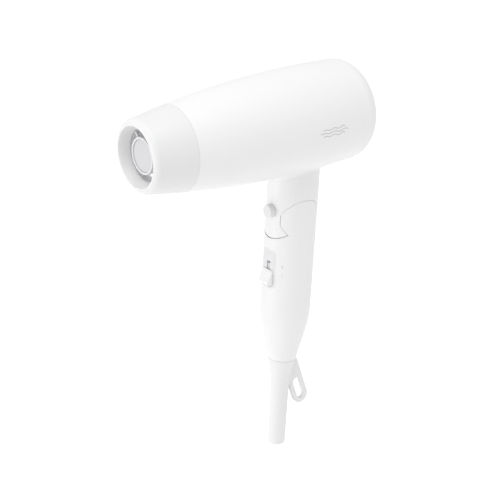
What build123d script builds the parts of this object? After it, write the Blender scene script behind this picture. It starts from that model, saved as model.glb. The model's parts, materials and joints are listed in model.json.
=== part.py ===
from build123d import *
import math
import os

# Hair dryer with a folding handle, in millimetres. +Z is up and the nozzle points towards -X.
# The origin is the middle of the grip, on the handle's centre line.
# The barrel's pieces are drawn about their own axis: x is the distance behind the nozzle's lip.
# The handle's pieces are drawn upright: -x is the front, z runs up the handle's centre line.

# Overall sizes
barrel_length = 202.0
barrel_height = 140.0          # barrel axis above the middle of the grip
nozzle_reach = 136.3           # lip ahead of the middle of the grip
handle_tilt = 3.71             # degrees, the lower end leans towards the nozzle
handle_radius = 20.0
grip_bottom = -59.0            # handle's lower end
guard_bottom = -137.0          # cord guard's lower end

# Barrel skin
barrel_wall = 2.4
lip_skin_radius = 28.0
lip_round = 5.1                # radius of the rounded lip
flank_middle_radius = 38.9
flank_end = 181.0
flank_end_radius = 39.4
dome_radius = 100.0
rear_corner_radius = 15.0

# Nozzle
nozzle_length = 33.0
hoop_start = 8.0
hoop_end = 18.0
hoop_radius = 25.2
throat_radius = 19.5           # where the mouth's funnel ends
nozzle_gap = 0.12
spigot_radius = 28.6
spigot_bore_radius = 26.3
spigot_start = 20.8
slide_clearance = 0.15
cup_radius = 13.7
cup_start = 5.5
cup_depth = 12.0
cup_wall = 1.6
spoke_count = 4
spoke_width = 2.2

# Neck and fold hinge
neck_wall = 2.4
neck_blend = 4.0
pivot_height = 64.0
pivot_forward = 1.5
seam_angle = 41.0              # the tongue's lower edge, below the pivot's level
tongue_angle = 48.0            # where the tongue ends inside the handle
seam_gap = 0.5
rear_seam = 3.0                # above the pivot
ear_radius = 16.5
ear_inner = 9.5                # inner face of each ear, from the middle plane
ear_gap = 0.2
ear_relief = 2.5               # depth of the hollow in each ear's inner face
knuckle_radius = 15.2
knuckle_half_width = 9.0
drum_half_width = 15.0
pin_radius = 3.0
pin_clearance = 0.05
pin_head_radius = 4.5
pin_head_height = 2.0
washer_radius = 5.8
washer_thickness = 0.4

# Handle
handle_wall = 2.5
taper_start = -12.0
taper_bend = -33.0
taper_bend_radius = 17.6
grip_end_radius = 11.5
boss_radius = 3.8
screw_radius = 1.4
screw_head_radius = 2.9
screw_seat = 11.0              # under the heads, from the middle plane
screw_depth = 9.5              # screws' points, past the middle plane
screw_back = 9.0               # screws behind the handle's centre line
screw_heights = (22.0, -22.0)

# Power switch
switch_width = 13.0
switch_corner = 2.2
switch_bottom = 7.0
switch_top = 36.0
switch_recess = 1.8
knob_width = 12.0
knob_height = 13.0
knob_proud = 4.0
knob_travel = 10.0
knob_stem_width = 3.6
knob_stem_height = 6.0
shutter_width = 6.0
shutter_thickness = 0.8
fit_gap = 0.3
switch_plate_thickness = 1.0
knob_corner = 2.0
slider_reach = 8.5             # slider's back, behind the handle's front
slider_thickness = 1.5
slider_width = 7.2

# Cool-shot button
button_height = 69.5
button_radius = 5.2
button_proud = 4.2
button_travel = 1.5
button_clearance = 0.1
button_stem_radius = 2.0
plunger_radius = 1.0
microswitch_height = 12.8
spring_turns = 4
spring_radius = 3.1
spring_wire_radius = 0.35

# Cord guard
guard_bore_radius = 3.6
guard_shoulder = -88.0
guard_radius = 7.3
guard_end_radius = 7.1
guard_spigot_radius = 8.5
guard_flange_radius = 10.5
guard_flange_height = 4.0
end_wall = 4.0
clamp_height = -42.5
clamp_low = 3.8                # clamp bar's near face, just clear of the cord
clamp_thickness = 2.6
clamp_bar_width = 7.0
clamp_screw_reach = 6.0
clamp_screw_radius = 1.2
clamp_pillar_radius = 2.4
loop_thickness = 3.2
loop_width = 14.0
loop_length = 47.0
loop_slot_width = 6.6
loop_slot_length = 21.0
loop_lean = 22.0
loop_band = 3.8

# Air path inside the barrel, behind the lip
outlet_grille_start = nozzle_length - 9.0
outlet_grille_depth = 3.0
outlet_ring_radii = (6.0, 15.5)
outlet_rib_width = 1.3
outlet_rib_count = 6
heater_start = nozzle_length + 5.0
heater_end = 100.0
heater_length = heater_end - heater_start
heater_tube_radius = 29.5
heater_tube_wall = 0.7
mica_half_width = 25.0
mica_thickness = 0.8
coil_radius = 26.6
coil_wire_radius = 0.9
coil_count = 9
cutout_length = 14.0
fuse_radius = 1.6
fuse_length = 12.0
ion_length = 9.0
ion_top = -24.0
ion_needle_radius = 0.6
shroud_start = 140.0
shroud_length = 16.0
shroud_wall = 1.6
shroud_clearance = 0.4
motor_start = 118.0
motor_length = 38.0
motor_radius = 13.0
hub_wall = 1.5
vane_count = 7
vane_thickness = 1.4
vane_angle = 22.0
cap_length = 3.0
diode_count = 4
fan_start = 160.0
fan_length = 14.0
fan_hub_radius = 15.0
fan_radius = 34.5
fan_blade_count = 9
blade_thickness = 1.4
blade_angle = 35.0
shaft_radius = 1.15
intake_radius = 27.5
intake_frame_wall = 2.0
grille_thickness = 1.8
grille_slot_width = 2.2
grille_slot_length = 4.6
grille_rows = ((9.0, 10), (15.5, 16), (22.0, 22))     # radius and slots of each row
loom_radius = 2.2

flank_start = lip_round
lip_bore_radius = lip_skin_radius - lip_round
pin_seat = ear_inner + 7.5
knob_low = switch_bottom + 0.8
stem_low = knob_low + (knob_height - knob_stem_height) / 2

ABOUT_PIVOT = Location((-pivot_forward, 0, pivot_height))
HANDLE = Location((0, 0, 0), (0, handle_tilt, 0))
BARREL = Location((-nozzle_reach, 0, barrel_height))
ALONG_X = Location((0, 0, 0), (0, 90, 0))
BIG = 400.0


def tube_x(outer, inner, start, length):
    """A ring about the barrel's axis, from start to start + length."""
    ring = Solid.make_cylinder(outer, length)
    if inner > 0:
        ring = ring - Solid.make_cylinder(inner, length)
    return Location((start, 0, 0)) * (ALONG_X * ring)


def outline_face(pieces):
    """A flat face inside an outline of lines and arcs."""
    return make_face(Wire([edge for piece in pieces for edge in piece.edges()]))


def bar_y(radius, near, far):
    """A round bar along y from near to far, through the local origin."""
    base = Plane((0, near, 0), x_dir=(1, 0, 0), z_dir=(0, 1, 0))
    return Solid.make_cylinder(radius, far - near, base)


def block(x0, x1, y0, y1, z0, z1):
    """A box between two corners."""
    return Location((x0, y0, z0)) * Solid.make_box(x1 - x0, y1 - y0, z1 - z0)


def rod_x(radius, x0, x1, z):
    """A round rod along x at height z."""
    return Solid.make_cylinder(radius, x1 - x0, Plane((x0, 0, z), x_dir=(0, 1, 0), z_dir=(1, 0, 0)))


def both_sides(shape):
    """The shape and its mirror image across the middle plane."""
    return [shape, shape.mirror(Plane.XZ)]


def skin_radius(x):
    """Radius of the barrel's flank at a distance behind the lip."""
    half = (flank_end - flank_start) / 2
    middle = (flank_end + flank_start) / 2
    rise = flank_middle_radius - (lip_skin_radius + flank_end_radius) / 2
    arc_radius = (half ** 2 + rise ** 2) / (2 * rise)
    across = x - middle
    bulge = math.sqrt(arc_radius ** 2 - across ** 2) - (arc_radius - rise)
    slope = (flank_end_radius - lip_skin_radius) / (flank_end - flank_start)
    return lip_skin_radius + slope * (x - flank_start) + bulge


def barrel_form(inset, start):
    """The barrel's round body, smaller all round by inset, cut off flat at start."""
    first = (start, skin_radius(start) - inset)
    middle_x = (start + flank_end) / 2
    middle = (middle_x, skin_radius(middle_x) - inset)
    last = (flank_end, flank_end_radius - inset)
    rear = barrel_length - inset
    dome = dome_radius - inset
    rim_angle = math.asin((flank_end_radius - inset) / dome)
    rim = (rear - dome + dome * math.cos(rim_angle), flank_end_radius - inset)
    crown = (rear - dome + dome * math.cos(rim_angle / 2), dome * math.sin(rim_angle / 2))
    outline = [
        ThreePointArc(first, middle, last),
        Line(last, rim),
        ThreePointArc(rim, crown, (rear, 0)),
        Line((rear, 0), (start, 0)),
        Line((start, 0), first),
    ]
    face = outline_face(outline)
    corner = face.vertices().sort_by_distance(Vector(*rim))[0]
    face = fillet(corner, rear_corner_radius - inset)
    return revolve(face, Axis.X).solid()


def hinge_drum(extra):
    """Round about the pivot, its rim on the handle's skin at the seam angle."""
    stretch = 1 / math.cos(math.radians(seam_angle))
    oval = Ellipse(handle_radius * stretch + extra, handle_radius + extra)
    oval = Pos(-pivot_forward * stretch, 0) * oval
    window = Pos(BIG / 2, 0) * Rectangle(BIG, 2 * (drum_half_width + extra))
    return ABOUT_PIVOT * revolve((oval & window).face(), Axis.Y).solid()


def front_of_pivot(back):
    """Everything ahead of a plane that lies back behind the pivot."""
    return ABOUT_PIVOT * block(-BIG, back, -BIG, BIG, -BIG, BIG)


def above_pivot(height):
    """Everything higher than a level above the pivot."""
    return ABOUT_PIVOT * block(-BIG, BIG, -BIG, BIG, height, BIG)


def below_pivot(height):
    """Everything lower than a level above the pivot."""
    return ABOUT_PIVOT * block(-BIG, BIG, -BIG, BIG, -BIG, height)


def tongue_sector(lift):
    """Everything above a plane that falls forward from the pivot at the tongue's angle."""
    return ABOUT_PIVOT * (Rot(0, -tongue_angle, 0) * block(-BIG, BIG, -BIG, BIG, lift, BIG))


def column(radius):
    """The handle's round column, carried up into the barrel."""
    foot = Plane.XY.offset(pivot_height - handle_radius * 2)
    return Solid.make_cylinder(radius, barrel_height - pivot_height + handle_radius * 2, foot)


def neck_form():
    """Outside of the neck, its tongue between the ears, and the knuckle."""
    skin = column(handle_radius)
    upper = skin & above_pivot(rear_seam)
    tongue = skin & hinge_drum(0) & front_of_pivot(0) & below_pivot(rear_seam) & tongue_sector(0)
    neck = upper + tongue
    for pocket in both_sides(bar_y(ear_radius + ear_gap, knuckle_half_width, BIG)):
        neck = neck - ABOUT_PIVOT * pocket
    knuckle = ABOUT_PIVOT * bar_y(knuckle_radius, -knuckle_half_width, knuckle_half_width)
    return (neck + knuckle).clean()


def neck_hollow():
    """The wire way inside the neck and the tongue."""
    inner = column(handle_radius - neck_wall)
    upper = inner & above_pivot(ear_radius + ear_gap + neck_wall)
    cheek = knuckle_half_width - neck_wall
    slab = block(-BIG, BIG, -cheek, cheek, -BIG, BIG)
    throat = inner & slab & above_pivot(0)
    tongue = inner & slab & hinge_drum(-neck_wall) & front_of_pivot(0) & below_pivot(0.1)
    tongue = tongue & tongue_sector(neck_wall)
    knuckle = ABOUT_PIVOT * bar_y(knuckle_radius - neck_wall, -cheek, cheek)
    wire_slot = ABOUT_PIVOT * block(-8, 3, -4, 4, -knuckle_radius - 3, 0)
    return upper + throat + tongue + knuckle + wire_slot


def make_barrel_housing():
    """Barrel, neck, tongue and nozzle spigot in one moulding."""
    shell = BARREL * barrel_form(0, nozzle_length)
    neck = HANDLE * neck_form()
    body = shell + neck
    barrel_bottom = barrel_height - flank_end_radius
    near_joint = [edge for edge in body.edges() if abs(edge.center().Z - barrel_bottom) < 8]
    joint = [edge for edge in near_joint if edge.length > handle_radius * 3]
    body = body.fillet(neck_blend, joint)
    body = body - HANDLE * neck_hollow() - BARREL * barrel_form(barrel_wall, nozzle_length)
    step = tube_x(spigot_radius, spigot_bore_radius, spigot_start, nozzle_length + 4 - spigot_start)
    seat = tube_x(skin_radius(nozzle_length) - 0.8, spigot_bore_radius, nozzle_length, 3)
    body = body + BARREL * step + BARREL * seat
    mouth = tube_x(intake_radius + intake_frame_wall, 0, barrel_length - 12, 20)
    body = body - BARREL * mouth
    button_hole = rod_x(button_radius + button_clearance, -handle_radius - 5, 0, button_height)
    body = body - HANDLE * button_hole
    reach = knuckle_half_width * 2
    pin_bore = ABOUT_PIVOT * bar_y(pin_radius + pin_clearance, -reach, reach)
    return body - HANDLE * pin_bore


def make_nozzle_ring():
    """Push-on nozzle with a rounded lip, bored for the spigot and the core's hoop."""
    middle_x = (flank_start + nozzle_length) / 2
    shoulder = (flank_start, lip_skin_radius)
    eighth = lip_round * math.sin(math.radians(45))
    lip_middle = (lip_round - eighth, lip_bore_radius + eighth)
    seam = (nozzle_length - nozzle_gap, skin_radius(nozzle_length - nozzle_gap))
    bore = spigot_radius + slide_clearance
    outline = [
        ThreePointArc((0, lip_bore_radius), lip_middle, shoulder),
        ThreePointArc(shoulder, (middle_x, skin_radius(middle_x)), seam),
        Polyline(
            seam,
            (seam[0], bore),
            (spigot_start - 0.3, bore),
            (spigot_start - 0.3, hoop_radius),
            (hoop_start, hoop_radius),
            (hoop_start, throat_radius),
            (0, lip_bore_radius),
        ),
    ]
    return BARREL * revolve(outline_face(outline), Axis.X).solid()


def make_nozzle_core():
    """Centre cup on spokes inside a hoop."""
    hoop = tube_x(hoop_radius, throat_radius, hoop_start, hoop_end - hoop_start)
    cup = tube_x(cup_radius, cup_radius - cup_wall, cup_start, cup_depth)
    floor = tube_x(cup_radius, 0, cup_start + 3, cup_wall)
    core = hoop + cup + floor
    half = spoke_width / 2
    for index in range(spoke_count):
        spoke = block(hoop_start + 1, hoop_end - 1, -half, half, cup_radius - 1, throat_radius + 1)
        core = core + Rot(45 + 360 / spoke_count * index, 0, 0) * spoke
    return BARREL * core.solid()


def make_outlet_grille():
    """Ribbed guard between the heater and the nozzle."""
    start = outlet_grille_start
    depth = outlet_grille_depth
    half = outlet_rib_width / 2
    inner = outlet_ring_radii[0]
    grille = tube_x(spigot_bore_radius - 0.1, spigot_bore_radius - 2, start, depth)
    for radius in outlet_ring_radii:
        grille = grille + tube_x(radius + half, radius - half, start, depth)
    for index in range(outlet_rib_count):
        rib = block(start, start + depth, -half, half, inner, spigot_bore_radius - 1)
        grille = grille + Rot(360 / outlet_rib_count * index, 0, 0) * rib
    return BARREL * grille.solid()


def make_heater():
    """Insulating tube, crossed mica sheets, heating coils, cut-out and fuse."""
    inner = heater_tube_radius - heater_tube_wall
    tube = tube_x(heater_tube_radius, inner, heater_start, heater_length)
    first = heater_start + 2
    last = heater_start + heater_length - 2
    half = mica_thickness / 2
    cross = block(first, last, -half, half, -mica_half_width, mica_half_width)
    cross = cross + block(first, last, -mica_half_width, mica_half_width, -half, half)
    coils = []
    pitch = (heater_length - 12) / (coil_count - 1)
    for index in range(coil_count):
        place = Plane((heater_start + 6 + pitch * index, 0, 0), x_dir=(0, 1, 0), z_dir=(1, 0, 0))
        coils.append(Solid.make_torus(coil_radius, coil_wire_radius, place))
    cutout = block(first + 8, first + 8 + cutout_length, half, half + 4, 4, 11)
    fuse_base = Plane((first + 30, -half - fuse_radius, 10), x_dir=(0, 1, 0), z_dir=(1, 0, 0))
    fuse = Solid.make_cylinder(fuse_radius, fuse_length, fuse_base)
    return {
        "heater_tube": BARREL * tube,
        "heater_cross": BARREL * cross,
        "heater_coils": BARREL * Compound(coils),
        "thermal_cutout": BARREL * cutout,
        "thermal_fuse": BARREL * fuse,
    }


def make_motor():
    """Vaned shroud, motor and rectifier."""
    shroud_radius = skin_radius(shroud_start) - barrel_wall - shroud_clearance
    shroud = tube_x(shroud_radius, shroud_radius - shroud_wall, shroud_start, shroud_length)
    shroud = shroud + tube_x(motor_radius + hub_wall, motor_radius, shroud_start, shroud_length)
    first = shroud_start + 2
    last = shroud_start + shroud_length - 2
    half = vane_thickness / 2
    for index in range(vane_count):
        vane = block(first, last, -half, half, motor_radius + half, shroud_radius - half)
        vane = vane.rotate(Axis(((first + last) / 2, 0, 0), (0, 0, 1)), vane_angle)
        shroud = shroud + Rot(360 / vane_count * index, 0, 0) * vane
    motor_end = motor_start + motor_length
    can_start = motor_start + cap_length
    can = tube_x(motor_radius, motor_radius - 1, can_start, motor_end - can_start)
    can = can + tube_x(motor_radius, 3, motor_end - 1.2, 1.2)
    cap = tube_x(motor_radius, shaft_radius + pin_clearance, motor_start, cap_length)
    board = tube_x(motor_radius + 3, 4, motor_start - 4, 1.6)
    diodes = []
    for index in range(diode_count):
        diode = block(motor_start - 8, motor_start - 4, -1.4, 1.4, 7, 13)
        diodes.append(Rot(360 / diode_count * index, 0, 0) * diode)
    return {
        "motor_shroud": BARREL * shroud.solid(),
        "motor_can": BARREL * can.solid(),
        "motor_cap": BARREL * cap,
        "rectifier_board": BARREL * board,
        "rectifier_diodes": BARREL * Compound(diodes),
    }


def make_rotor():
    """Fan impeller on its shaft."""
    hub = tube_x(fan_hub_radius, 0, fan_start, fan_length)
    first = fan_start + 2
    last = fan_start + fan_length - 2
    half = blade_thickness / 2
    for index in range(fan_blade_count):
        blade = block(first, last, -half, half, fan_hub_radius - 1.5, fan_radius)
        blade = blade.rotate(Axis(((first + last) / 2, 0, 0), (0, 0, 1)), blade_angle)
        hub = hub + Rot(360 / fan_blade_count * index, 0, 0) * blade
    hub = hub & tube_x(fan_radius, 0, fan_start, fan_length)
    bore = tube_x(shaft_radius, 0, fan_start - 1, fan_length - 3)
    shaft_start = motor_start + 0.5
    shaft = tube_x(shaft_radius, 0, shaft_start, fan_start + fan_length - 4 - shaft_start)
    return {"fan_impeller": BARREL * (hub - bore).solid(), "motor_shaft": BARREL * shaft}


def dome_arc(inset, radius):
    """Half of the rear dome's curve, sunk by inset, from the axis out to radius."""
    middle = barrel_length - dome_radius
    curve = dome_radius - inset
    angle = math.asin(radius / curve)
    rim = (middle + curve * math.cos(angle), radius)
    between = (middle + curve * math.cos(angle / 2), curve * math.sin(angle / 2))
    return (middle + curve, 0), between, rim


def dome_disc(inset, thickness, radius):
    """A round domed plate that follows the rear of the barrel."""
    crown, outer_middle, outer_rim = dome_arc(inset, radius)
    heart, inner_middle, inner_rim = dome_arc(inset + thickness, radius)
    outline = [
        ThreePointArc(crown, outer_middle, outer_rim),
        Line(outer_rim, inner_rim),
        ThreePointArc(inner_rim, inner_middle, heart),
        Line(heart, crown),
    ]
    return revolve(outline_face(outline), Axis.X).solid()


def make_intake():
    """Frame, slotted rear grille and the dust filter behind it."""
    outer = intake_radius + intake_frame_wall
    frame_depth = 11.0
    frame = tube_x(outer - 0.1, intake_radius - 0.2, barrel_length - 5 - frame_depth, frame_depth)
    frame = frame & barrel_form(0.4, nozzle_length)
    ledge = tube_x(intake_radius, intake_radius - 3, barrel_length - 5 - frame_depth, 2)
    frame = frame + ledge
    grille = dome_disc(0.6, grille_thickness, intake_radius - 0.3)
    slots = []
    half = grille_slot_width / 2
    reach = grille_slot_length / 2
    for radius, count in grille_rows:
        for index in range(count):
            slot = block(barrel_length - 14, BIG, -half, half, radius - reach, radius + reach)
            slots.append(Rot(360 / count * index, 0, 0) * slot)
    grille = grille - slots
    mesh = tube_x(intake_radius - 0.4, 0, barrel_length - 5 - frame_depth + 2, 0.6)
    return {
        "intake_frame": BARREL * frame.solid(),
        "intake_grille": BARREL * grille.solid(),
        "filter_mesh": BARREL * mesh,
    }


def make_ion_module():
    """Ion box under the heater's inlet with its needle."""
    start = heater_end + 1
    box = block(start, start + ion_length, -9, 9, -33, ion_top)
    needle = rod_x(ion_needle_radius, start - 4, start, ion_top - 2)
    return {"ion_module": BARREL * box, "ion_emitter": BARREL * needle}


def make_cool_shot():
    """Round button, its spring, and the switch with its plunger."""
    face = handle_radius + button_proud
    inner = handle_radius - neck_wall
    flange = -inner + 1.7
    flange_back = flange + 1.3
    button_back = flange_back + 3
    button = rod_x(button_radius, -face, flange_back, button_height)
    button = button + rod_x(button_radius + 1.2, flange, flange_back, button_height)
    button = button + rod_x(button_stem_radius, flange_back, button_back, button_height)
    front = max(button.faces(), key=lambda side: -side.center().X)
    button = fillet(front.edges(), 0.9).solid()
    switch_front = button_back + button_travel + 0.5
    low = button_height - microswitch_height / 2
    high = button_height + microswitch_height / 2
    switch = block(switch_front, switch_front + 6.5, -3, 3, low, high)
    plunger_hole = rod_x(plunger_radius + 0.1, switch_front - 1, switch_front + 3, button_height)
    plunger = rod_x(plunger_radius, button_back, switch_front + 1, button_height)
    coils = []
    span = switch_front - flange_back
    for index in range(spring_turns):
        x = flange_back + span * (index + 0.5) / spring_turns
        place = Plane((x, 0, button_height), x_dir=(0, 1, 0), z_dir=(1, 0, 0))
        coils.append(Solid.make_torus(spring_radius, spring_wire_radius, place))
    return {
        "cool_shot_button": HANDLE * button,
        "cool_shot_plunger": HANDLE * plunger,
        "cool_shot_switch": HANDLE * (switch - plunger_hole),
        "cool_shot_spring": HANDLE * Compound(coils),
    }


def handle_outline(inset, top):
    """Half outline of the grip: straight, one arc, then a straight taper."""
    bend = taper_start - taper_bend
    drop = handle_radius - taper_bend_radius
    sag = (bend ** 2 + drop ** 2) / (2 * drop)
    half_angle = math.asin(bend / sag) / 2
    middle_x = handle_radius - sag + sag * math.cos(half_angle)
    middle = (middle_x - inset, taper_start - sag * math.sin(half_angle))
    side = handle_radius - inset
    start = (side, taper_start)
    knee = (taper_bend_radius - inset, taper_bend)
    tip = (grip_end_radius - inset, grip_bottom)
    return [
        Line((0, top), (side, top)),
        Line((side, top), start),
        ThreePointArc(start, middle, knee),
        Line(knee, tip),
        Line(tip, (0, grip_bottom)),
        Line((0, grip_bottom), (0, top)),
    ]


def handle_form(inset, top):
    """The grip as a solid of revolution, smaller all round by inset."""
    face = Plane.XZ * outline_face(handle_outline(inset, top))
    return revolve(face, Axis.Z).solid()


def screw_cut(height):
    """Clear hole and head pocket of one handle screw, entered from the far side."""
    hole = bar_y(screw_radius, -screw_depth - 0.5, screw_seat + 3)
    pocket = bar_y(screw_head_radius + 0.3, screw_seat, BIG)
    return Location((screw_back, 0, height)) * (hole + pocket)


def switch_slot(margin, depth):
    """Upright window with rounded corners in the front of the handle."""
    length = switch_top - switch_bottom + 2 * margin
    outline = RectangleRounded(switch_width + 2 * margin, length, switch_corner + margin)
    middle = (switch_top + switch_bottom) / 2
    face = Plane((-handle_radius - 8, 0, middle), x_dir=(0, 1, 0), z_dir=(1, 0, 0)) * outline
    return extrude(face, amount=8 + depth)


def make_handle_shell():
    """Whole grip shell before it is split: ears, bosses, switch slot and cord entry."""
    top = pivot_height + rear_seam - seam_gap
    ears = ABOUT_PIVOT * bar_y(ear_radius, -BIG / 2, BIG / 2) & column(handle_radius)
    ears = ears - ABOUT_PIVOT * bar_y(BIG / 4, -ear_inner, ear_inner)
    inner = handle_form(handle_wall, top + 1)
    inner = inner & block(-BIG, BIG, -BIG, BIG, grip_bottom + end_wall, BIG)
    shell = handle_form(0, top) - inner
    shell = shell - (hinge_drum(seam_gap) & front_of_pivot(13))
    shell = shell + ears
    relief = bar_y(ear_radius - 5, -ear_inner - ear_relief, ear_inner + ear_relief)
    relief = relief - bar_y(pin_radius * 2, -ear_inner - 6, ear_inner + 6)
    shell = shell - ABOUT_PIVOT * relief
    for height in screw_heights:
        boss = Location((screw_back, 0, height)) * bar_y(boss_radius, -handle_radius, handle_radius)
        shell = shell + (boss & handle_form(handle_wall / 2, top))
        shell = shell - screw_cut(height)
    shell = shell - switch_slot(0, switch_recess)
    shell = shell - switch_track()
    under_grip = Plane.XY.offset(grip_bottom - 5)
    guard_hole = Solid.make_cylinder(guard_spigot_radius + 0.05, 20, under_grip)
    shell = shell - guard_hole
    pin_bore = bar_y(pin_radius, -pin_seat, pin_seat)
    return shell - ABOUT_PIVOT * pin_bore


def make_handle():
    """Both grip halves, the screws, the hinge pins and their washers."""
    shell = HANDLE * make_handle_shell()
    left = shell & block(-BIG, BIG, -BIG, 0, -BIG, BIG)
    right = shell & block(-BIG, BIG, 0, BIG, -BIG, BIG)
    screws = []
    for height in screw_heights:
        screw = bar_y(screw_radius, -screw_depth, screw_seat)
        screw = screw + bar_y(screw_head_radius, screw_seat, screw_seat + 2)
        screws.append(HANDLE * (Location((screw_back, 0, height)) * screw))
    pins = []
    washers = []
    cheek = knuckle_half_width - neck_wall
    for side in (-1, 1):
        turn = Rot(90 * side, 0, 0)
        head_plane = Plane.XY.offset(cheek - pin_head_height - 0.1)
        pin = Solid.make_cylinder(pin_radius, pin_seat - head_plane.origin.Z, head_plane)
        pin = pin + Solid.make_cylinder(pin_head_radius, pin_head_height, head_plane)
        pins.append(HANDLE * (ABOUT_PIVOT * (turn * pin)))
        face_plane = Plane.XY.offset(ear_inner - washer_thickness)
        ring = Solid.make_cylinder(washer_radius, washer_thickness, face_plane)
        ring = ring - Solid.make_cylinder(pin_radius, washer_thickness, face_plane)
        washers.append(HANDLE * (ABOUT_PIVOT * (turn * ring)))
    return {
        "handle_left": left.solid(),
        "handle_right": right.solid(),
        "handle_screws": Compound(screws),
        "hinge_pins": Compound(pins),
        "hinge_washers": Compound(washers),
    }


def switch_track():
    """Upright slot that the knob's stem runs in."""
    half = knob_stem_width / 2 + fit_gap
    top = stem_low + knob_stem_height + knob_travel + fit_gap
    return block(-BIG, -handle_radius + 6, -half, half, stem_low - fit_gap, top)


def make_power_switch():
    """Recess plate, switch body, and the sliding knob with its shutter and slider."""
    floor = -handle_radius + switch_recess
    face = floor - switch_plate_thickness
    plate = switch_slot(-0.1, switch_recess - 0.1) & block(face, floor, -BIG, BIG, -BIG, BIG)
    plate = plate - switch_track()
    under = face - 0.1
    proud = -handle_radius - knob_proud
    knob_high = knob_low + knob_height
    crest = knob_low + knob_height * 0.25
    side = [
        (under, knob_low),
        (-handle_radius + 0.4, knob_low),
        (proud, crest - 1.2),
        (proud, crest + 0.4),
        (-handle_radius - 0.2, knob_high),
        (under, knob_high),
    ]
    wedge = Plane.XZ * make_face(Polyline(*side, close=True))
    knob = extrude(wedge, amount=knob_width / 2, both=True).solid()
    upright = Location(((proud + under) / 2, 0, (knob_low + knob_high) / 2), (0, 90, 0))
    outline = RectangleRounded(knob_height, knob_width, knob_corner)
    pad = upright * extrude(outline, amount=10, both=True)
    knob = (knob & pad).solid()
    crest_edges = [edge for edge in knob.edges() if edge.center().X < -handle_radius - 1.5]
    knob = knob.fillet(0.5, crest_edges)
    slider_back = -handle_radius + slider_reach
    slider_front = slider_back - slider_thickness
    stem_top = stem_low + knob_stem_height
    half_stem = knob_stem_width / 2
    stem = block(under, slider_front, -half_stem, half_stem, stem_low, stem_top)
    cover = knob_travel + 2 * fit_gap
    inside = -handle_radius + handle_wall + 0.7
    half_cover = shutter_width / 2
    deep = inside + shutter_thickness
    shutter = block(inside, deep, -half_cover, half_cover, stem_low - cover, stem_top + cover)
    half_slider = slider_width / 2
    slider = block(slider_front, slider_back, -half_slider, half_slider, stem_low - 1, stem_top + 1)
    body_front = slider_front - 0.5
    body_low = stem_low - 5
    body_high = stem_top + 4 + knob_travel
    body = block(body_front, 0, -half_slider - 2.4, half_slider + 2.4, body_low, body_high)
    half_channel = half_slider + fit_gap
    channel_low = stem_low - 1 - fit_gap
    channel_high = stem_top + 1 + fit_gap + knob_travel
    channel_back = slider_back + fit_gap
    room = block(body_front, channel_back, -half_channel, half_channel, channel_low, channel_high)
    return {
        "switch_plate": HANDLE * plate.solid(),
        "switch_knob": HANDLE * (knob + stem + shutter).solid(),
        "switch_slider": HANDLE * slider,
        "switch_body": HANDLE * (body - room).solid(),
    }


def loom(points, radius):
    """A bundle of wires along straight runs joined by round bends."""
    path = FilletPolyline(*points, radius=7)
    start = path @ 0
    section = Plane(origin=start, z_dir=path % 0) * Circle(radius)
    return sweep(section, path=path).solid()


def make_looms():
    """Wires in the neck up to the rectifier, and in the grip down to the cord."""
    neck_x = -nozzle_reach
    upper = loom(
        [
            (8.5, 0, pivot_height + 3),
            (6.5, 0, pivot_height + 28),
            (neck_x + 129, 0, barrel_height - 32),
            (neck_x + 115, 0, barrel_height - 27),
            (neck_x + 115, 0, barrel_height - 16.1),
        ],
        loom_radius,
    )
    lower = Solid.make_cylinder(loom_radius, 38, Plane((2.5, 0, -32)))
    return {"loom_upper": upper, "loom_lower": HANDLE * lower}


def make_cord_clamp():
    """Clamp bar over the cord's end, with two screws into pillars on the left half."""
    half = clamp_screw_reach + 2
    clamp_high = clamp_low + clamp_thickness
    low = clamp_height - clamp_bar_width / 2
    bar = block(-half, half, clamp_low, clamp_high, low, low + clamp_bar_width)
    screws = []
    for x in (-clamp_screw_reach, clamp_screw_reach):
        place = Location((x, 0, clamp_height))
        bar = bar - place * bar_y(clamp_screw_radius, 0, BIG)
        head = bar_y(clamp_screw_radius + 1, clamp_high, clamp_high + 1.4)
        screw = bar_y(clamp_screw_radius, -2, clamp_high) + head
        screws.append(HANDLE * (place * screw))
    return {"cord_clamp": HANDLE * bar, "clamp_screws": Compound(screws)}


def clamp_pillars():
    """Pillars on the left half that carry the cord clamp."""
    inside = handle_form(handle_wall / 2, pivot_height)
    pillars = []
    for x in (-clamp_screw_reach, clamp_screw_reach):
        place = Location((x, 0, clamp_height))
        pillar = place * bar_y(clamp_pillar_radius, -handle_radius, clamp_low) & inside
        pillars.append(pillar - place * bar_y(clamp_screw_radius, -2, clamp_low + 1))
    return pillars


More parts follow.
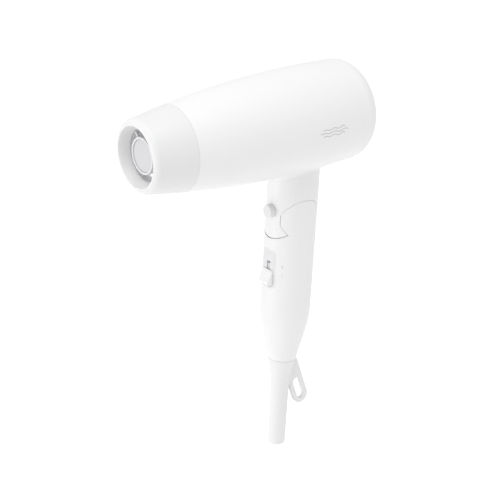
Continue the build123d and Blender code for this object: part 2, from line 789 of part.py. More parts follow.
def make_cord_guard():
    """Tapered sleeve with a flange held in the grip's end and a flat hanging loop."""
    top = grip_bottom + end_wall + guard_flange_height
    shelf = grip_bottom + end_wall + 0.1
    collar = grip_bottom - 0.2
    waist = (8.9, grip_bottom * 0.55 + guard_shoulder * 0.45)
    shoulder = (guard_radius, guard_shoulder)
    foot = (guard_end_radius, guard_bottom + 2)
    foot_middle = (guard_end_radius - 0.6, guard_bottom + 0.6)
    foot_end = (guard_end_radius - 2, guard_bottom)
    outline = [
        Polyline(
            (guard_bore_radius, top),
            (guard_flange_radius - 2.5, top),
            (guard_flange_radius - 2.5, shelf),
            (guard_spigot_radius, shelf),
            (guard_spigot_radius, collar),
            (grip_end_radius, collar),
        ),
        ThreePointArc((grip_end_radius, collar), waist, shoulder),
        Line(shoulder, foot),
        ThreePointArc(foot, foot_middle, foot_end),
        Polyline(foot_end, (guard_bore_radius, guard_bottom), (guard_bore_radius, top)),
    ]
    sleeve = revolve(Plane.XZ * outline_face(outline), Axis.Z).solid()
    band = Plane.XZ * SlotOverall(loop_length, loop_width, rotation=90)
    plate = extrude(band, amount=loop_thickness / 2, both=True)
    slot_drop = loop_length / 2 - loop_band - loop_slot_length / 2
    slot = SlotOverall(loop_slot_length, loop_slot_width, rotation=90)
    slot = Plane.XZ * Pos(0, -slot_drop) * slot
    plate = plate - extrude(slot, amount=loop_thickness, both=True)
    plate = plate.solid().rotate(Axis.Y, -loop_lean)
    reach = loop_length / 2 - loop_width / 2
    lean = math.radians(loop_lean)
    hang_x = grip_end_radius - 2.5 + reach * math.sin(lean)
    hang_z = grip_bottom - 9 - reach * math.cos(lean)
    plate = Location((hang_x, 0, hang_z)) * plate
    bore = Solid.make_cylinder(guard_bore_radius, BIG, Plane.XY.offset(-BIG / 2))
    cap = block(-BIG, BIG, -BIG, BIG, collar, BIG)
    guard = sleeve + (plate - cap) - bore
    return {"cord_guard": HANDLE * guard.solid()}


def main():
    os.makedirs("parts", exist_ok=True)
    nodes = {
        "barrel_housing": make_barrel_housing(),
        "nozzle_ring": make_nozzle_ring(),
        "nozzle_core": make_nozzle_core(),
        "outlet_grille": make_outlet_grille(),
    }
    nodes.update(make_heater())
    nodes.update(make_motor())
    nodes.update(make_rotor())
    nodes.update(make_intake())
    nodes.update(make_ion_module())
    nodes.update(make_cool_shot())
    nodes.update(make_handle())
    nodes.update(make_power_switch())
    nodes.update(make_looms())
    nodes.update(make_cord_clamp())
    nodes.update(make_cord_guard())
    for pillar in clamp_pillars():
        nodes["handle_left"] = (nodes["handle_left"] + HANDLE * pillar).solid()
    for name, shape in nodes.items():
        export_step(shape, "parts/" + name + ".step")
        print(name, round(shape.volume))


main()
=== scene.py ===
# %% [markdown]
# # A folding hair dryer
# The measured frame of this hair dryer already exists as a set of CAD pieces. This lesson loads it,
# gives every piece its finish, and adds the small shapes that a drawing of the mechanism leaves out.

# %% Load the measured frame
import json
import math

import bmesh
import bpy
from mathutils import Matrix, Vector


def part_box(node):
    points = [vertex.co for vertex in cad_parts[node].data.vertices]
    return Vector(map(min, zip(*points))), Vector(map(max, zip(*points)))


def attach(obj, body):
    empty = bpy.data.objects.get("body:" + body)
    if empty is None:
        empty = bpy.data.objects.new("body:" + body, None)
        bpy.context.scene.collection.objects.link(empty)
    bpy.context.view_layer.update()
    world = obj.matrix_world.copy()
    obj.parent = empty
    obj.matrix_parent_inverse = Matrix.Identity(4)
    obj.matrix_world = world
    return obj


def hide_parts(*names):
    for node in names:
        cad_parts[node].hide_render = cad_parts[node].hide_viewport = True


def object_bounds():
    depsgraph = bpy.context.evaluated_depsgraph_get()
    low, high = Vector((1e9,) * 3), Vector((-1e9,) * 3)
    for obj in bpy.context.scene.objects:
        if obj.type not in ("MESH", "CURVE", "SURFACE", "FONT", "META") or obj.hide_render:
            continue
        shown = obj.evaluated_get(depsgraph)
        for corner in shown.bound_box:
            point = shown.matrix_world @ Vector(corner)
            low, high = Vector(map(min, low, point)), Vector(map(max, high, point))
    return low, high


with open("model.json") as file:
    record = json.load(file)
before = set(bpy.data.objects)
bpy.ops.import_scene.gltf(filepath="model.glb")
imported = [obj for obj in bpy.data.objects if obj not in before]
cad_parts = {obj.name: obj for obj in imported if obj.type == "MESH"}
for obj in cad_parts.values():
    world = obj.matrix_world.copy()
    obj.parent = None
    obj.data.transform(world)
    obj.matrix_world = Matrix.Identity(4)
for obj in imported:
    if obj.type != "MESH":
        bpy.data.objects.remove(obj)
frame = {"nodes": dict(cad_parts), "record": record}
cad_low, cad_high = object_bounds()
nodes = frame["nodes"]
MM = 0.001
print("pieces in the frame:", len(nodes))

# %% [markdown]
# The dryer is drawn about two lines. The handle leans a few degrees, and the barrel is level.
# The places below are read from the frame's own pieces, so the added shapes always meet them.

# %% Places read from the frame
HANDLE_LEAN = math.radians(3.71)
lip_low, lip_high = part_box("nozzle_ring")
BARREL_Z = (lip_low.z + lip_high.z) / 2
LIP_X = lip_low.x
GRIP_RADIUS = 20 * MM
print("lip at", round(LIP_X / MM, 1), "mm, barrel axis at", round(BARREL_Z / MM, 1), "mm")


# %% [markdown]
# Operators act on whatever is selected, so each new shape starts from a clean selection. A finished
# piece keeps its object at the origin and its place in its mesh, as the CAD pieces do.

# %% Small helpers for modelling
def clear_selection():
    """Nothing selected and nothing active."""
    bpy.ops.object.select_all(action="DESELECT")
    bpy.context.view_layer.objects.active = None


def name_piece(name):
    """Name the shape that was just added."""
    obj = bpy.context.object
    obj.name = name
    obj.data.name = name
    return obj


def select_faces(obj, test):
    """In edit mode, select only the faces that pass the test."""
    mesh = bmesh.from_edit_mesh(obj.data)
    bpy.ops.mesh.select_mode(type="FACE")
    bpy.ops.mesh.select_all(action="DESELECT")
    for face in mesh.faces:
        face.select_set(test(face))
    mesh.select_flush_mode()
    bmesh.update_edit_mesh(obj.data)


def make_active(obj):
    """Select one shape alone and make it active."""
    clear_selection()
    obj.select_set(True)
    bpy.context.view_layer.objects.active = obj


def bake_place(obj):
    """Write the object's place, turn and scale into its mesh."""
    make_active(obj)
    bpy.ops.object.transform_apply(location=True, rotation=True, scale=True)


def lean_with_handle(obj):
    """Turn a shape that was drawn upright onto the leaning handle."""
    bake_place(obj)
    obj.rotation_euler = (0, HANDLE_LEAN, 0)
    bake_place(obj)


def apply_modifier(obj, kind, **settings):
    """Add one modifier, set it and apply it."""
    make_active(obj)
    modifier = obj.modifiers.new(kind.lower(), kind)
    for key, value in settings.items():
        setattr(modifier, key, value)
    bpy.ops.object.modifier_apply(modifier=modifier.name)


def round_edges(obj, width, segments=3):
    """Round the sharp edges."""
    apply_modifier(obj, "BEVEL", width=width, segments=segments, angle_limit=math.radians(30))


def join_shapes(shapes, name):
    """Several shapes become one piece."""
    make_active(shapes[0])
    for shape in shapes:
        shape.select_set(True)
    if len(shapes) > 1:
        bpy.ops.object.join()
    return name_piece(name)


def finish_piece(obj, body, finish):
    """Smooth a piece, dress it, and tie it to the body it moves with."""
    make_active(obj)
    bpy.ops.object.shade_smooth_by_angle(angle=math.radians(35))
    dress(obj, finish)
    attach(obj, body)
    print(obj.name, len(obj.data.polygons), "faces, moves with", body)


# %% [markdown]
# ## Finishes
# Moulded plastic is never quite even: the tool leaves a fine grain, and the gloss drifts slightly.
# One shared group makes both, and each material feeds it its own colour and depth.

# %% The shared grain of moulded plastic
def make_grain_group():
    group = bpy.data.node_groups.new("moulded grain", "ShaderNodeTree")
    face = group.interface
    face.new_socket("Colour", in_out="INPUT", socket_type="NodeSocketColor")
    face.new_socket("Roughness", in_out="INPUT", socket_type="NodeSocketFloat")
    face.new_socket("Grain Scale", in_out="INPUT", socket_type="NodeSocketFloat")
    face.new_socket("Grain Depth", in_out="INPUT", socket_type="NodeSocketFloat")
    face.new_socket("Tint Drift", in_out="INPUT", socket_type="NodeSocketFloat")
    face.new_socket("Colour", in_out="OUTPUT", socket_type="NodeSocketColor")
    face.new_socket("Roughness", in_out="OUTPUT", socket_type="NodeSocketFloat")
    face.new_socket("Normal", in_out="OUTPUT", socket_type="NodeSocketVector")
    add = group.nodes.new
    link = group.links.new
    inputs = add("NodeGroupInput")
    outputs = add("NodeGroupOutput")
    place = add("ShaderNodeTexCoord")
    grain = add("ShaderNodeTexNoise")
    grain.inputs["Detail"].default_value = 3
    link(place.outputs["Object"], grain.inputs["Vector"])
    link(inputs.outputs["Grain Scale"], grain.inputs["Scale"])
    bump = add("ShaderNodeBump")
    bump.inputs["Distance"].default_value = 0.00005
    link(inputs.outputs["Grain Depth"], bump.inputs["Strength"])
    link(grain.outputs["Fac"], bump.inputs["Height"])
    drift = add("ShaderNodeTexNoise")
    drift.inputs["Scale"].default_value = 38
    link(place.outputs["Object"], drift.inputs["Vector"])
    gloss = add("ShaderNodeMapRange")
    gloss.inputs["From Min"].default_value = 0.3
    gloss.inputs["From Max"].default_value = 0.7
    gloss.inputs["To Min"].default_value = -0.03
    gloss.inputs["To Max"].default_value = 0.03
    link(drift.outputs["Fac"], gloss.inputs["Value"])
    rough = add("ShaderNodeMath")
    rough.operation = "ADD"
    link(inputs.outputs["Roughness"], rough.inputs[0])
    link(gloss.outputs["Result"], rough.inputs[1])
    darker = add("ShaderNodeMix")
    darker.data_type = "RGBA"
    darker.blend_type = "MULTIPLY"
    darker.inputs["B"].default_value = (0.93, 0.93, 0.94, 1)
    amount = add("ShaderNodeMath")
    amount.operation = "MULTIPLY"
    link(drift.outputs["Fac"], amount.inputs[0])
    link(inputs.outputs["Tint Drift"], amount.inputs[1])
    link(amount.outputs["Value"], darker.inputs["Factor"])
    link(inputs.outputs["Colour"], darker.inputs["A"])
    link(darker.outputs["Result"], outputs.inputs["Colour"])
    link(rough.outputs["Value"], outputs.inputs["Roughness"])
    link(bump.outputs["Normal"], outputs.inputs["Normal"])
    return group


grain_group = make_grain_group()
print("grain group sockets:", len(grain_group.interface.items_tree))


# %% [markdown]
# A plastic's colour, gloss and fine bumps all come out of the group. Each material only says how
# pale it is, how glossy, and how coarse the grain of its mould was.

# %% Moulded plastics
TINT_DRIFT = 0.25


def moulded(name, colour, roughness, grain_scale=2600, grain_depth=0.25):
    """A plastic with the shared grain."""
    material = bpy.data.materials.new(name)
    material.use_nodes = True
    material.diffuse_color = (*colour, 1)
    tree = material.node_tree
    shader = tree.nodes["Principled BSDF"]
    grain = tree.nodes.new("ShaderNodeGroup")
    grain.node_tree = grain_group
    grain.inputs["Colour"].default_value = (*colour, 1)
    grain.inputs["Roughness"].default_value = roughness
    grain.inputs["Grain Scale"].default_value = grain_scale
    grain.inputs["Grain Depth"].default_value = grain_depth
    grain.inputs["Tint Drift"].default_value = TINT_DRIFT
    tree.links.new(grain.outputs["Colour"], shader.inputs["Base Color"])
    tree.links.new(grain.outputs["Roughness"], shader.inputs["Roughness"])
    tree.links.new(grain.outputs["Normal"], shader.inputs["Normal"])
    return material


finishes = {
    "white_shell": moulded("satin white shell", (0.745, 0.745, 0.745), 0.42),
    "nozzle_grey": moulded("nozzle white", (0.685, 0.685, 0.69), 0.46),
    "guard_grey": moulded("soft guard", (0.72, 0.72, 0.72), 0.55, grain_scale=1800, grain_depth=0.4),
    "control_grey": moulded("switch window grey", (0.66, 0.66, 0.67), 0.35),
    "control_white": moulded("control white", (0.79, 0.79, 0.79), 0.38),
    "black_nylon": moulded("black nylon", (0.03, 0.03, 0.032), 0.5, grain_depth=0.6),
    "diode_black": moulded("diode black", (0.02, 0.02, 0.02), 0.4),
    "wire_jacket": moulded("wire jacket", (0.08, 0.08, 0.085), 0.5),
    "board": moulded("circuit board green", (0.05, 0.18, 0.08), 0.4),
}

# %% [markdown]
# The heater is held on mica, a mineral pressed into brown flaky sheets. The flakes are cells of
# slightly different browns.

# %% Mica sheet
def mica_finish():
    material = bpy.data.materials.new("mica sheet")
    material.use_nodes = True
    tree = material.node_tree
    shader = tree.nodes["Principled BSDF"]
    place = tree.nodes.new("ShaderNodeTexCoord")
    flakes = tree.nodes.new("ShaderNodeTexVoronoi")
    flakes.inputs["Scale"].default_value = 320
    ramp = tree.nodes.new("ShaderNodeValToRGB")
    ramp.color_ramp.elements[0].color = (0.36, 0.27, 0.16, 1)
    ramp.color_ramp.elements[1].color = (0.62, 0.52, 0.36, 1)
    tree.links.new(place.outputs["Object"], flakes.inputs["Vector"])
    tree.links.new(flakes.outputs["Distance"], ramp.inputs["Fac"])
    tree.links.new(ramp.outputs["Color"], shader.inputs["Base Color"])
    shader.inputs["Roughness"].default_value = 0.55
    return material


# %% [markdown]
# Screws, pins and the motor's can are bare metal. A stretched noise gives the drawn, brushed look.

# %% Bare metals
def metal_finish(name, colour, roughness, stretch=(40, 40, 1800)):
    material = bpy.data.materials.new(name)
    material.use_nodes = True
    tree = material.node_tree
    shader = tree.nodes["Principled BSDF"]
    place = tree.nodes.new("ShaderNodeTexCoord")
    turn = tree.nodes.new("ShaderNodeMapping")
    turn.inputs["Scale"].default_value = stretch
    streaks = tree.nodes.new("ShaderNodeTexNoise")
    streaks.inputs["Scale"].default_value = 1
    spread = tree.nodes.new("ShaderNodeMapRange")
    spread.inputs["To Min"].default_value = roughness - 0.08
    spread.inputs["To Max"].default_value = roughness + 0.12
    tree.links.new(place.outputs["Object"], turn.inputs["Vector"])
    tree.links.new(turn.outputs["Vector"], streaks.inputs["Vector"])
    tree.links.new(streaks.outputs["Fac"], spread.inputs["Value"])
    tree.links.new(spread.outputs["Result"], shader.inputs["Roughness"])
    shader.inputs["Base Color"].default_value = (*colour, 1)
    shader.inputs["Metallic"].default_value = 1
    return material


finishes["mica"] = mica_finish()
finishes["steel"] = metal_finish("zinc plated steel", (0.55, 0.55, 0.57), 0.32)
finishes["heating_wire"] = metal_finish("heating wire", (0.36, 0.31, 0.28), 0.42)
finishes["brass"] = metal_finish("fuse brass", (0.72, 0.55, 0.26), 0.3)

# %% [markdown]
# The dust filter behind the rear grille is a woven nylon net. Two crossing waves of height and
# brightness make the weave, because threads this fine would be hundreds of thousands of faces.

# %% Woven dust filter
def net_finish():
    material = bpy.data.materials.new("woven filter")
    material.use_nodes = True
    tree = material.node_tree
    shader = tree.nodes["Principled BSDF"]
    place = tree.nodes.new("ShaderNodeTexCoord")
    heights = []
    for direction in ("Y", "Z"):
        wave = tree.nodes.new("ShaderNodeTexWave")
        wave.bands_direction = direction
        wave.inputs["Scale"].default_value = 400
        tree.links.new(place.outputs["Object"], wave.inputs["Vector"])
        heights.append(wave.outputs["Fac"])
    cross = tree.nodes.new("ShaderNodeMath")
    cross.operation = "MAXIMUM"
    tree.links.new(heights[0], cross.inputs[0])
    tree.links.new(heights[1], cross.inputs[1])
    ramp = tree.nodes.new("ShaderNodeValToRGB")
    ramp.color_ramp.elements[0].position = 0.45
    ramp.color_ramp.elements[0].color = (0.01, 0.01, 0.01, 1)
    ramp.color_ramp.elements[1].color = (0.16, 0.16, 0.17, 1)
    tree.links.new(cross.outputs["Value"], ramp.inputs["Fac"])
    tree.links.new(ramp.outputs["Color"], shader.inputs["Base Color"])
    bump = tree.nodes.new("ShaderNodeBump")
    bump.inputs["Distance"].default_value = 0.0003
    tree.links.new(cross.outputs["Value"], bump.inputs["Height"])
    tree.links.new(bump.outputs["Normal"], shader.inputs["Normal"])
    shader.inputs["Roughness"].default_value = 0.7
    return material


finishes["filter"] = net_finish()


# %% [markdown]
# Signs on the shell are pad-printed in a soft grey ink. The disc in the nozzle's centre cup is given
# a grey darker than the nozzle as painted shade, so that the cup reads as a hollow.

# %% Ink and the cup's painted shade
finishes["print_grey"] = moulded("pad-printed grey ink", (0.50, 0.50, 0.51), 0.6, grain_depth=0.1)
finishes["mark_grey"] = moulded("raised mark grey", (0.58, 0.58, 0.59), 0.5)
# the cup disc's darker grey is painted shade, standing for the shade inside the hollow cup
finishes["cup_painted_shade"] = moulded("cup disc painted shade", (0.56, 0.56, 0.57), 0.5)
finishes["core_grey"] = moulded("nozzle core grey", (0.64, 0.64, 0.65), 0.5)
finishes["button_grey"] = moulded("button grey", (0.68, 0.68, 0.69), 0.4)

# %% [markdown]
# Each CAD piece names the finish it takes, so one loop dresses them all. The nozzle's core and the
# cool-shot button are then given greys of their own, a shade darker than what surrounds them.

# %% Dress the frame's pieces
def dress(obj, finish):
    """Give a piece one finish."""
    obj.data.materials.clear()
    obj.data.materials.append(finishes[finish])


for row in frame["record"]["subparts"]:
    dress(nodes[row["node"]], row["material_slot"])
dress(nodes["nozzle_core"], "core_grey")
dress(nodes["cool_shot_button"], "button_grey")
print("finishes:", len(finishes))

# %% [markdown]
# ## The air sign on the barrel
# A real barrel carries a small printed sign on its side. Ink can be painted on with a texture, but a
# thin strip of mesh stays crisp at any distance. One wavy stream is bent from a flat grid, copied
# twice, and laid onto the curved skin with a shrinkwrap.

# %% Three streams of air
STREAM_COLUMNS = 48
STREAM_LENGTH = 26 * MM
STREAM_WIDTH = 0.7 * MM
STREAM_PITCH = 2.5 * MM
STREAM_WAVE = 0.75 * MM
STREAM_WAVES = 2.5
SHORT_STREAM = 0.8
SIGN_X = 12.4 * MM


def air_stream():
    """One flat wavy stream that stands upright beside the barrel."""
    clear_selection()
    bpy.ops.mesh.primitive_grid_add(
        x_subdivisions=STREAM_COLUMNS, y_subdivisions=2, size=1,
        location=(SIGN_X, cad_low.y - 5 * MM, BARREL_Z), rotation=(math.radians(90), 0, 0),
    )
    stream = name_piece("air_stream")
    stream.scale = (STREAM_LENGTH, STREAM_WIDTH, 1)
    bake_place(stream)
    first = SIGN_X - STREAM_LENGTH / 2
    bpy.ops.object.mode_set(mode="EDIT")
    bpy.ops.mesh.select_mode(type="VERT")
    for column in range(STREAM_COLUMNS + 1):
        along = column / STREAM_COLUMNS
        place = first + STREAM_LENGTH * along
        bpy.ops.mesh.select_all(action="DESELECT")
        mesh = bmesh.from_edit_mesh(stream.data)
        for point in mesh.verts:
            point.select_set(abs(point.co.x - place) < STREAM_LENGTH / STREAM_COLUMNS / 4)
        mesh.select_flush_mode()
        lift = STREAM_WAVE * math.sin(2 * math.pi * STREAM_WAVES * along) * (0.4 + 0.6 * along)
        bpy.ops.transform.translate(value=(0, 0, lift))
    bpy.ops.object.mode_set(mode="OBJECT")
    return stream


streams = [air_stream()]
for step in (1, -1):
    make_active(streams[0])
    bpy.ops.object.duplicate()
    stream = bpy.context.object
    bpy.ops.object.mode_set(mode="EDIT")
    bpy.ops.mesh.select_all(action="SELECT")
    bpy.ops.transform.resize(value=(SHORT_STREAM, 1, 1), center_override=(SIGN_X, 0, BARREL_Z))
    bpy.ops.transform.translate(value=(0, 0, STREAM_PITCH * step))
    bpy.ops.object.mode_set(mode="OBJECT")
    streams.append(stream)
air_sign = join_shapes(streams, "air_sign")
apply_modifier(
    air_sign, "SHRINKWRAP", target=nodes["barrel_housing"], wrap_method="PROJECT",
    use_project_y=True, use_negative_direction=False, use_positive_direction=True, offset=0.02 * MM,
)
apply_modifier(air_sign, "SOLIDIFY", thickness=0.03 * MM, offset=0)
finish_piece(air_sign, "barrel", "print_grey")

# %% [markdown]
# ## The setting marks beside the switch
# Two small raised marks show the settings: one bar for the gentle stream, two for the strong one.
# Each bar starts as a cube, is drawn out long and thin, and has its edges rounded as a mould does.

# %% Setting marks
MARK_ANGLE = 39
BAR_STEP = 2.6
BAR_SIZE = (0.24 * MM, 0.5 * MM, 2.4 * MM)
LOW_MARK = 19 * MM
HIGH_MARK = 26 * MM


def setting_bar(angle, up):
    """One raised bar on the grip's skin."""
    turn = math.radians(angle)
    clear_selection()
    bpy.ops.mesh.primitive_cube_add(
        size=1, rotation=(0, 0, turn),
        location=(-GRIP_RADIUS * math.cos(turn), -GRIP_RADIUS * math.sin(turn), up),
    )
    bar = name_piece("bar")
    bar.scale = BAR_SIZE
    bake_place(bar)
    round_edges(bar, 0.1 * MM)
    return bar


bars = [
    setting_bar(MARK_ANGLE, LOW_MARK),
    setting_bar(MARK_ANGLE - BAR_STEP / 2, HIGH_MARK),
    setting_bar(MARK_ANGLE + BAR_STEP / 2, HIGH_MARK),
]
setting_marks = join_shapes(bars, "setting_marks")
lean_with_handle(setting_marks)
finish_piece(setting_marks, "handle", "mark_grey")

# %% [markdown]
# ## The disc in the centre cup
# The cup's floor is a separate disc with a shallow dish, dressed in a darker grey that is painted
# shade of the hollow. A cylinder gives the disc, an inset on its front face gives the rim, and
# pushing that face back gives the dish.

# %% Cup disc
CUP_FLOOR = LIP_X + 8.5 * MM
DISC_RADIUS = 11.9 * MM
DISC_DEPTH = 2.4 * MM
DISC_RIM = 0.9 * MM
DISC_SLOPE = 8 * MM
clear_selection()
bpy.ops.mesh.primitive_cylinder_add(
    vertices=96, radius=DISC_RADIUS, depth=DISC_DEPTH, rotation=(0, math.radians(90), 0),
    location=(CUP_FLOOR - DISC_DEPTH / 2, 0, BARREL_Z),
)
cup_disc = name_piece("cup_disc")
bake_place(cup_disc)
bpy.ops.object.mode_set(mode="EDIT")
select_faces(cup_disc, lambda face: face.normal.x < -0.9)
bpy.ops.mesh.inset(thickness=DISC_RIM)
bpy.ops.transform.translate(value=(0.35 * MM, 0, 0))
bpy.ops.mesh.inset(thickness=DISC_SLOPE)
bpy.ops.transform.translate(value=(0.3 * MM, 0, 0))
bpy.ops.object.mode_set(mode="OBJECT")
round_edges(cup_disc, 0.15 * MM)
# the disc takes the darker grey that paints the cup's shade
finish_piece(cup_disc, "nozzle", "cup_painted_shade")

# %% [markdown]
# ## The heating wire
# Inside the barrel a wire is wound around the mica sheets. The frame keeps nine plain rings in its
# place. A small circle swept by a screw modifier makes one continuous coil of the same size.

# %% Wound heating wire
COIL_TURNS = 9
COIL_STEPS = 40
WIRE_RADIUS = 0.9 * MM
coil_low, coil_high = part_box("heater_coils")
coil_radius = (coil_high.z - coil_low.z) / 2 - WIRE_RADIUS
coil_run = coil_high.x - coil_low.x - 2 * WIRE_RADIUS
clear_selection()
bpy.ops.mesh.primitive_circle_add(
    vertices=8, radius=WIRE_RADIUS, fill_type="NGON", rotation=(math.radians(90), 0, 0),
    location=(coil_low.x + WIRE_RADIUS, 0, coil_radius),
)
heating_wire = name_piece("heating_wire")
bake_place(heating_wire)
apply_modifier(
    heating_wire, "SCREW", axis="X", angle=2 * math.pi, iterations=COIL_TURNS, steps=COIL_STEPS,
    screw_offset=coil_run / COIL_TURNS, use_merge_vertices=True,
)
heating_wire.location = (0, 0, BARREL_Z)
bake_place(heating_wire)
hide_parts("heater_coils")
finish_piece(heating_wire, "barrel", "heating_wire")

# %% [markdown]
# ## The grip screws
# Two screws hold the grip's halves together, and their heads show at the bottom of round pockets.
# Each head is a cylinder whose back is inset and extruded into the shank. The cross in the head is
# cut with a boolean, which leaves straight walls as a stamped recess has.

# %% Grip screws
HEAD_RADIUS = 2.9 * MM
HEAD_TOP = 13 * MM
HEAD_DEPTH = 2 * MM
SHANK_RADIUS = 1.4 * MM
SHANK_LENGTH = 20.5 * MM
CROSS_LENGTH = 3.2 * MM
CROSS_WIDTH = 0.75 * MM
CROSS_DEPTH = 1.1 * MM
SCREW_BACK = 9 * MM
SCREW_UP = 22 * MM


def grip_screw(up):
    """One screw, drawn along y at its height on the upright grip."""
    clear_selection()
    bpy.ops.mesh.primitive_cylinder_add(
        vertices=48, radius=HEAD_RADIUS, depth=HEAD_DEPTH, rotation=(math.radians(-90), 0, 0),
        location=(SCREW_BACK, HEAD_TOP - HEAD_DEPTH / 2, up),
    )
    screw = name_piece("screw")
    bake_place(screw)
    bpy.ops.object.mode_set(mode="EDIT")
    select_faces(screw, lambda face: face.normal.y < -0.9)
    bpy.ops.mesh.inset(thickness=HEAD_RADIUS - SHANK_RADIUS)
    bpy.ops.mesh.extrude_region_move(TRANSFORM_OT_translate={"value": (0, -SHANK_LENGTH, 0)})
    bpy.ops.object.mode_set(mode="OBJECT")
    for size in ((CROSS_LENGTH, CROSS_WIDTH), (CROSS_WIDTH, CROSS_LENGTH)):
        clear_selection()
        bpy.ops.mesh.primitive_cube_add(size=1, location=(SCREW_BACK, HEAD_TOP, up))
        cutter = bpy.context.object
        cutter.scale = (size[0], 2 * CROSS_DEPTH, size[1])
        bake_place(cutter)
        apply_modifier(screw, "BOOLEAN", object=cutter, operation="DIFFERENCE", solver="EXACT")
        bpy.data.objects.remove(cutter)
    round_edges(screw, 0.15 * MM, segments=2)
    return screw


grip_screws = join_shapes([grip_screw(SCREW_UP), grip_screw(-SCREW_UP)], "grip_screws")
lean_with_handle(grip_screws)
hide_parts("handle_screws")
finish_piece(grip_screws, "handle", "steel")

# %% [markdown]
# ## The border round the switch
# The grey window sits in a narrow raised border that follows the round grip. A plane is given round
# corners, cut into strips so that it can bend, inset, and its middle taken out. A shrinkwrap onto a
# plain round guide bends it to the grip, and the guide is thrown away.

# %% Switch border
BORDER_WIDTH = 15.6 * MM
BORDER_HEIGHT = 31.6 * MM
BORDER_BAND = 1.5 * MM
BORDER_CORNER = 3.4 * MM
BORDER_PROUD = 0.12 * MM
BORDER_DEPTH = 0.5 * MM
BORDER_STRIPS = 6
WINDOW_MIDDLE = 21.5 * MM
clear_selection()
bpy.ops.mesh.primitive_cylinder_add(
    vertices=256, radius=GRIP_RADIUS + BORDER_PROUD, depth=80 * MM, location=(0, 0, WINDOW_MIDDLE),
)
guide = name_piece("guide")
bake_place(guide)
clear_selection()
bpy.ops.mesh.primitive_plane_add(
    size=1, rotation=(0, math.radians(-90), 0), location=(-GRIP_RADIUS - 5 * MM, 0, WINDOW_MIDDLE),
)
switch_border = name_piece("switch_border")
switch_border.scale = (BORDER_HEIGHT, BORDER_WIDTH, 1)
bake_place(switch_border)
bpy.ops.object.mode_set(mode="EDIT")
bpy.ops.mesh.select_all(action="SELECT")
bpy.ops.mesh.bevel(affect="VERTICES", offset=BORDER_CORNER, segments=8)
bpy.ops.mesh.select_all(action="SELECT")
bpy.ops.mesh.inset(thickness=BORDER_BAND)
bpy.ops.mesh.delete(type="FACE")
for step in range(-BORDER_STRIPS, BORDER_STRIPS + 1):
    bpy.ops.mesh.select_all(action="SELECT")
    bpy.ops.mesh.bisect(plane_co=(0, step * MM, 0), plane_no=(0, 1, 0))
bpy.ops.object.mode_set(mode="OBJECT")
apply_modifier(
    switch_border, "SHRINKWRAP", target=guide, wrap_method="PROJECT", use_project_x=True,
    use_negative_direction=False, use_positive_direction=True,
)
bpy.data.objects.remove(guide)
apply_modifier(switch_border, "SOLIDIFY", thickness=BORDER_DEPTH, offset=-1)
round_edges(switch_border, 0.1 * MM, segments=2)
lean_with_handle(switch_border)
finish_piece(switch_border, "handle", "nozzle_grey")

# %% [markdown]
# ## The film behind the switch
# A thin film slides with the knob and closes the slot that the knob's stem runs in, so no dust and
# no dark hole shows. A cube drawn out to a film does it, with its long edges rounded.

# %% Slot film
FILM_DEPTH = GRIP_RADIUS - 1.75 * MM
FILM_THICKNESS = 0.05 * MM
FILM_WIDTH = 5 * MM
FILM_LOW = 7.5 * MM
FILM_HIGH = 25.9 * MM
clear_selection()
bpy.ops.mesh.primitive_cube_add(size=1, location=(-FILM_DEPTH, 0, (FILM_LOW + FILM_HIGH) / 2))
slot_film = name_piece("slot_film")
slot_film.scale = (FILM_THICKNESS, FILM_WIDTH, FILM_HIGH - FILM_LOW)
bake_place(slot_film)
round_edges(slot_film, 0.02 * MM, segments=2)
lean_with_handle(slot_film)
finish_piece(slot_film, "power_knob", "control_grey")

# %% [markdown]
# ## The stage
# A pale floor well below the dryer and a broad, even light. The camera stands to the left of the
# nozzle and looks slightly down, with a long lens so that the barrel hardly tapers by distance.

# %% Floor
FLOOR_DROP = 0.25
clear_selection()
bpy.ops.mesh.primitive_plane_add(size=30, location=(0, 0, cad_low.z - FLOOR_DROP))
floor = name_piece("floor")
floor_paint = bpy.data.materials.new("pale floor")
floor_paint.use_nodes = True
floor_shader = floor_paint.node_tree.nodes["Principled BSDF"]
floor_shader.inputs["Base Color"].default_value = (0.93, 0.93, 0.93, 1)
floor_shader.inputs["Roughness"].default_value = 0.9
floor_shader.inputs["Emission Color"].default_value = (1, 1, 1, 1)
floor_shader.inputs["Emission Strength"].default_value = 0.3
floor.data.materials.append(floor_paint)

# %% [markdown]
# White on white needs light from all round, or the edges vanish into the background. A bright world
# does most of it, one broad lamp overhead lifts the top, and a low one in front lifts the handle.
# Thin white plastic also lets light through, which a small round lamp inside the nozzle stands for.

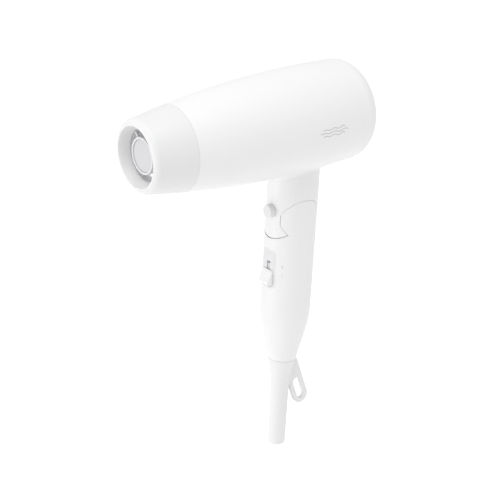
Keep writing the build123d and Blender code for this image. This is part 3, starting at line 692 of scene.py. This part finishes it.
# %% Lights
def soft_light(name, place, aim, size, power):
    data = bpy.data.lights.new(name, "AREA")
    data.shape = "DISK"
    data.size = size
    data.energy = power
    lamp = bpy.data.objects.new(name, data)
    bpy.context.collection.objects.link(lamp)
    lamp.location = place
    lamp.rotation_euler = (Vector(aim) - Vector(place)).to_track_quat("-Z", "Y").to_euler()
    return lamp


soft_light("overhead", (-0.3, -0.15, 1.0), (0, 0, 0.1), 0.9, 4.8)
soft_light("front fill", (-1.4, 0.6, -0.05), (0, 0, 0.05), 0.9, 5)
inside = bpy.data.lights.new("inside glow", "POINT")
inside.energy = 0.045
inside.shadow_soft_size = 12 * MM
inside_lamp = bpy.data.objects.new("inside glow", inside)
bpy.context.collection.objects.link(inside_lamp)
inside_lamp.location = (LIP_X + 21 * MM, 0, BARREL_Z)
world = bpy.data.worlds.new("studio white")
world.use_nodes = True
world.node_tree.nodes["Background"].inputs["Color"].default_value = (1, 1, 1, 1)
world.node_tree.nodes["Background"].inputs["Strength"].default_value = 0.83
bpy.context.scene.world = world
bpy.context.scene.view_settings.view_transform = "Standard"

# %% [markdown]
# The camera looks from a turn and a rise about the point it aims at, so a step sideways or closer is
# one number. The long lens keeps the far end of the barrel nearly as large as the near one.

# %% Camera
VIEW_TURN = math.radians(-36.54)
VIEW_RISE = math.radians(23.61)
VIEW_DISTANCE = 1.05894
AIM = Vector((-0.0868, -0.0691, 0.0803))
away = Vector((
    math.sin(VIEW_TURN) * math.cos(VIEW_RISE),
    -math.cos(VIEW_TURN) * math.cos(VIEW_RISE),
    math.sin(VIEW_RISE),
))
lens = bpy.data.cameras.new("camera")
lens.lens = 108
lens.sensor_width = 36
camera = bpy.data.objects.new("camera", lens)
bpy.context.collection.objects.link(camera)
camera.location = AIM + away * VIEW_DISTANCE
camera.rotation_euler = (-away).to_track_quat("-Z", "Y").to_euler()
bpy.context.scene.camera = camera
print("camera at", [round(value, 3) for value in camera.location])

# %% [markdown]

# %% Close
print("scene built")
